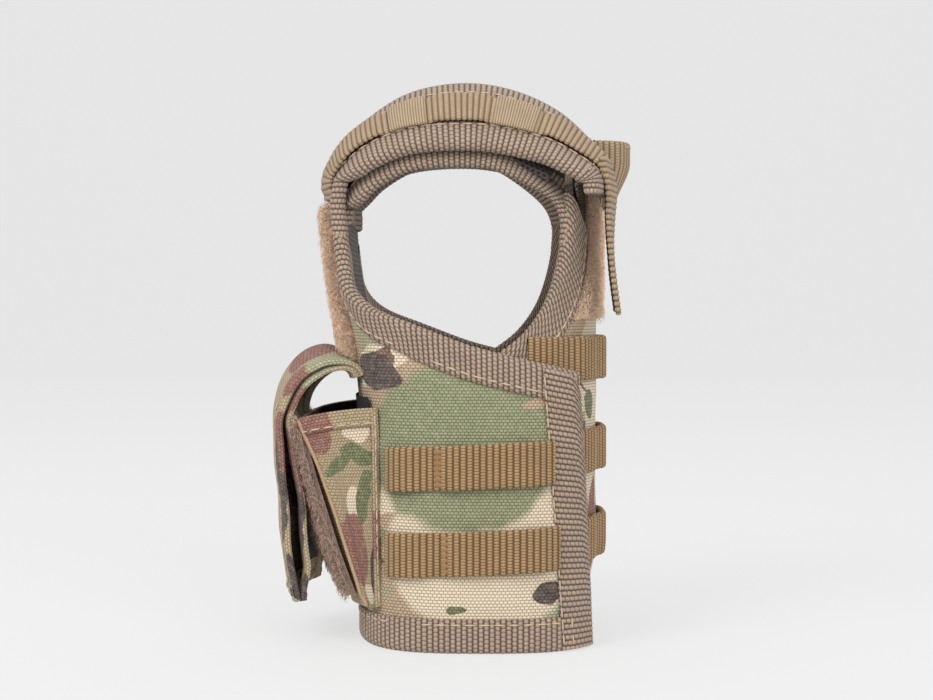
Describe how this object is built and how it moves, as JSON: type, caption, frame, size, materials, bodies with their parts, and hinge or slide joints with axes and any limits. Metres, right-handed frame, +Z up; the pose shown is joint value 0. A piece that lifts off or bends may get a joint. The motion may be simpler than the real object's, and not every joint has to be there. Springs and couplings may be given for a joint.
{
  "type": "miniature load vest bottle sleeve",
  "caption": "Miniature padded camouflage load vest that wraps a bottle or can, with a flapped front pouch, webbing rows, shoulder straps and a drag handle.",
  "frame": {"origin": "middle of the whole object's footprint box, on the surface that the vest stands on", "axes": "+Z up, the front with the pouch faces -Y, +X is the wearer's left"},
  "size_m": [0.0772, 0.1074, 0.1678],
  "materials": {
    "camo_fabric": "matte woven nylon, printed",
    "binding_tape": "matte ribbed tape",
    "coyote_webbing": "slightly shiny ribbed webbing",
    "loop_fuzz": "matte fuzz",
    "mesh_lining": "matte spacer mesh",
    "foam": "matte foam",
    "black_hook": "matte hook tape"
  },
  "bodies": {
    "vest": {"front_lining": "mesh_lining", "front_core": "foam", "front_shell": "camo_fabric", "front_hem_binding": "binding_tape", "front_neck_binding": "binding_tape", "left_front_armhole_binding": "binding_tape", "right_front_armhole_binding": "binding_tape", "chest_loop_patch": "loop_fuzz", "back_lining": "mesh_lining", "back_core": "foam", "back_shell": "camo_fabric", "back_hem_binding": "binding_tape", "back_neck_binding": "binding_tape", "left_back_armhole_binding": "binding_tape", "right_back_armhole_binding": "binding_tape", "back_loop_patch": "loop_fuzz", "back_webbing_upper": "coyote_webbing", "back_webbing_middle": "coyote_webbing", "back_webbing_lower": "coyote_webbing", "pouch_body": "camo_fabric", "pouch_back": "black_hook", "pouch_loop_patch": "loop_fuzz", "pouch_flap_root": "camo_fabric"},
    "left_wing": {"left_wing_core": "foam", "left_wing_shell": "camo_fabric", "left_wing_top_binding": "binding_tape", "left_wing_hem_binding": "binding_tape", "left_wing_end_binding": "binding_tape", "left_wing_lining": "mesh_lining", "left_wing_hook_patch": "black_hook", "left_wing_webbing_upper": "coyote_webbing", "left_wing_webbing_lower": "coyote_webbing"},
    "right_wing": {"right_wing_core": "foam", "right_wing_shell": "camo_fabric", "right_wing_top_binding": "binding_tape", "right_wing_hem_binding": "binding_tape", "right_wing_end_binding": "binding_tape", "right_wing_lining": "mesh_lining", "right_wing_hook_patch": "black_hook", "right_wing_webbing_upper": "coyote_webbing", "right_wing_webbing_lower": "coyote_webbing"},
    "left_strap": {"left_strap_pad": "foam", "left_strap_arm_binding": "binding_tape", "left_strap_neck_binding": "binding_tape", "left_strap_webbing": "coyote_webbing", "left_strap_keeper_front": "coyote_webbing", "left_strap_keeper_rear": "coyote_webbing"},
    "right_strap": {"right_strap_pad": "foam", "right_strap_arm_binding": "binding_tape", "right_strap_neck_binding": "binding_tape", "right_strap_webbing": "coyote_webbing", "right_strap_keeper_front": "coyote_webbing", "right_strap_keeper_rear": "coyote_webbing"},
    "left_tab": {"left_strap_tab": "coyote_webbing"},
    "right_tab": {"right_strap_tab": "coyote_webbing"},
    "left_inner": {"left_inner_strap": "binding_tape"},
    "right_inner": {"right_inner_strap": "binding_tape"},
    "flap": {"pouch_flap": "camo_fabric", "pouch_flap_hook_patch": "black_hook"},
    "handle": {"drag_handle": "coyote_webbing"}
  },
  "joints": [
    {"name": "left_wing_swing", "type": "hinge", "parent": "vest", "child": "left_wing", "pos_m": [0.0346, -0.014, 0.05], "axis": [0, 0, -1], "range_deg": [0, 85]},
    {"name": "left_strap_lift", "type": "hinge", "parent": "vest", "child": "left_strap", "pos_m": [0.017, -0.04, 0.134], "axis": [1, 0, 0], "range_deg": [0, 100]},
    {"name": "left_tab_peel", "type": "hinge", "parent": "left_strap", "child": "left_tab", "pos_m": [0.024, 0.0499, 0.139], "axis": [1, 0, 0], "range_deg": [0, 90]},
    {"name": "left_inner_strap_drop", "type": "hinge", "parent": "vest", "child": "left_inner", "pos_m": [0.024, 0.0319, 0.147], "axis": [1, 0, 0], "range_deg": [0, 20]},
    {"name": "right_wing_swing", "type": "hinge", "parent": "vest", "child": "right_wing", "pos_m": [-0.0346, -0.014, 0.05], "axis": [0, 0, 1], "range_deg": [0, 85]},
    {"name": "right_strap_lift", "type": "hinge", "parent": "vest", "child": "right_strap", "pos_m": [-0.017, -0.04, 0.134], "axis": [1, 0, 0], "range_deg": [0, 100]},
    {"name": "right_tab_peel", "type": "hinge", "parent": "right_strap", "child": "right_tab", "pos_m": [-0.024, 0.0499, 0.139], "axis": [1, 0, 0], "range_deg": [0, 90]},
    {"name": "right_inner_strap_drop", "type": "hinge", "parent": "vest", "child": "right_inner", "pos_m": [-0.024, 0.0319, 0.147], "axis": [1, 0, 0], "range_deg": [0, 20]},
    {"name": "pouch_flap_lift", "type": "hinge", "parent": "vest", "child": "flap", "pos_m": [0, -0.0402, 0.0878], "axis": [-1, 0, 0], "range_deg": [0, 110]},
    {"name": "drag_handle_swing", "type": "hinge", "parent": "vest", "child": "handle", "pos_m": [0, 0.0423, 0.151], "axis": [1, 0, 0], "range_deg": [0, 70]}
  ]
}
